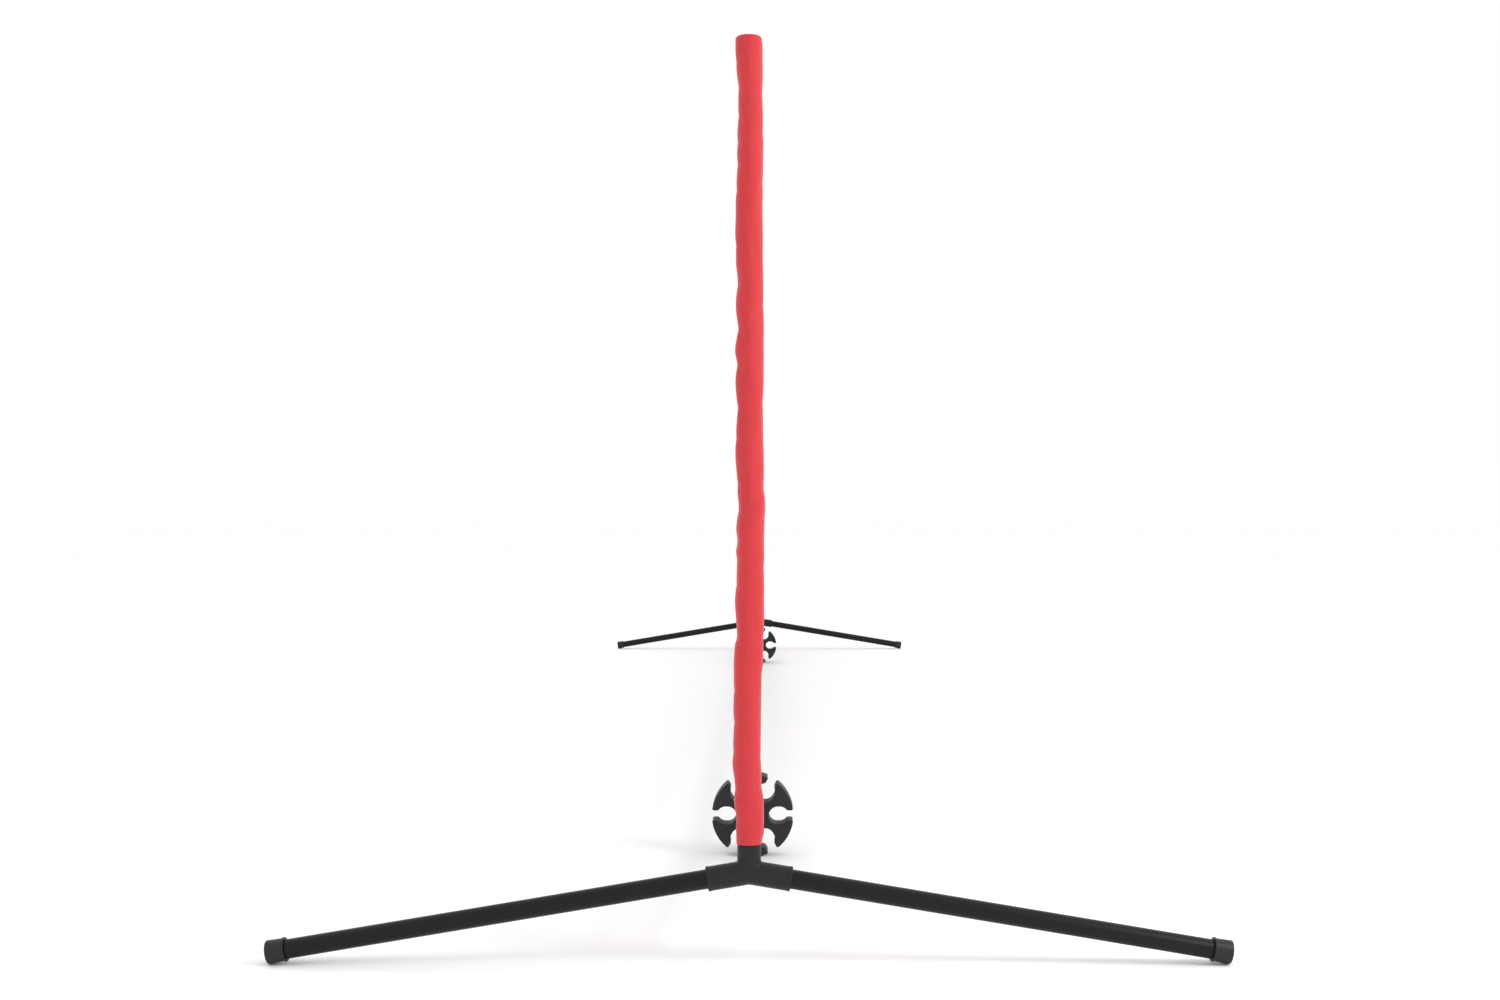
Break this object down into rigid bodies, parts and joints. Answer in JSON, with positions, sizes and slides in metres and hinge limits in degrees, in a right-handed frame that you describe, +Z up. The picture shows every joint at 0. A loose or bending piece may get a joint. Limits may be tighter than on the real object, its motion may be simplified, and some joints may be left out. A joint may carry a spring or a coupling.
{
  "type": "portable practice net",
  "caption": "Free-standing practice net: two posts in fabric sleeves on sloping legs, a ground bar with slotted support wheels, and a sagging net between the posts.",
  "frame": {"origin": "on the floor under the middle of the net, at the centre of the base of the whole object", "axes": "+Y along the net from the front post to the back post, +X square to the net to the right as seen looking along +Y, +Z up"},
  "size_m": [0.9516, 4.026, 0.914],
  "materials": {
    "connector": "injection-moulded polypropylene, satin",
    "tube": "black powder coat on steel tube",
    "cap": "moulded cap, fine satin",
    "plug": "moulded plug",
    "sleeve": "woven red polyester",
    "tape": "woven red polyester, sewn double",
    "mesh": "knotted black polyethylene twine",
    "wheel": "moulded wheel, satin",
    "elbow": "injection-moulded polypropylene, satin",
    "ring": "moulded rubber, matte",
    "button": "bright zinc-plated spring steel"
  },
  "bodies": {
    "base_frame": {"base_connector_front": "connector", "ground_tube_end_front": "tube", "bar_elbow_front": "elbow", "wheel_stop_ring_front": "ring", "base_connector_back": "connector", "ground_tube_end_back": "tube", "bar_elbow_back": "elbow", "wheel_stop_ring_back": "ring", "ground_tube_mid_front": "tube", "ground_tube_mid_center": "tube", "ground_tube_mid_back": "tube"},
    "net_and_posts": {"post_tube_front": "tube", "post_plug_front": "plug", "post_sleeve_front": "sleeve", "post_tube_back": "tube", "post_plug_back": "plug", "post_sleeve_back": "sleeve", "net_mesh": "mesh", "net_top_tape": "tape", "net_bottom_tape": "tape"},
    "leg_front_left": {"leg_tube_front_left": "tube", "leg_cap_front_left": "cap"},
    "leg_front_right": {"leg_tube_front_right": "tube", "leg_cap_front_right": "cap"},
    "wheel_front": {"support_wheel_front": "wheel"},
    "button_front": {"snap_button_front": "button"},
    "leg_back_left": {"leg_tube_back_left": "tube", "leg_cap_back_left": "cap"},
    "leg_back_right": {"leg_tube_back_right": "tube", "leg_cap_back_right": "cap"},
    "wheel_back": {"support_wheel_back": "wheel"},
    "button_back": {"snap_button_back": "button"}
  },
  "joints": [
    {"name": "net_lift", "type": "slide", "parent": "base_frame", "child": "net_and_posts", "axis": [0, 0, 1], "range_m": [0, 0.028]},
    {"name": "leg_pull_front_left", "type": "slide", "parent": "base_frame", "child": "leg_front_left", "axis": [-0.9864, 0, -0.1644], "range_m": [0, 0.028]},
    {"name": "leg_pull_front_right", "type": "slide", "parent": "base_frame", "child": "leg_front_right", "axis": [0.9864, 0, -0.1644], "range_m": [0, 0.028]},
    {"name": "wheel_turn_front", "type": "hinge", "parent": "base_frame", "child": "wheel_front", "pos_m": [0, -1.458, 0.053], "axis": [0, 1, 0], "continuous": true},
    {"name": "button_press_front", "type": "slide", "parent": "base_frame", "child": "button_front", "axis": [0, 0, -1], "range_m": [0, 0.0022], "stiffness_N_per_m": 900, "springref_m": -0.001},
    {"name": "leg_pull_back_left", "type": "slide", "parent": "base_frame", "child": "leg_back_left", "axis": [-0.9864, 0, -0.1644], "range_m": [0, 0.028]},
    {"name": "leg_pull_back_right", "type": "slide", "parent": "base_frame", "child": "leg_back_right", "axis": [0.9864, 0, -0.1644], "range_m": [0, 0.028]},
    {"name": "wheel_turn_back", "type": "hinge", "parent": "base_frame", "child": "wheel_back", "pos_m": [0, 1.458, 0.053], "axis": [0, 1, 0], "continuous": true},
    {"name": "button_press_back", "type": "slide", "parent": "base_frame", "child": "button_back", "axis": [0, 0, -1], "range_m": [0, 0.0022], "stiffness_N_per_m": 900, "springref_m": -0.001}
  ]
}
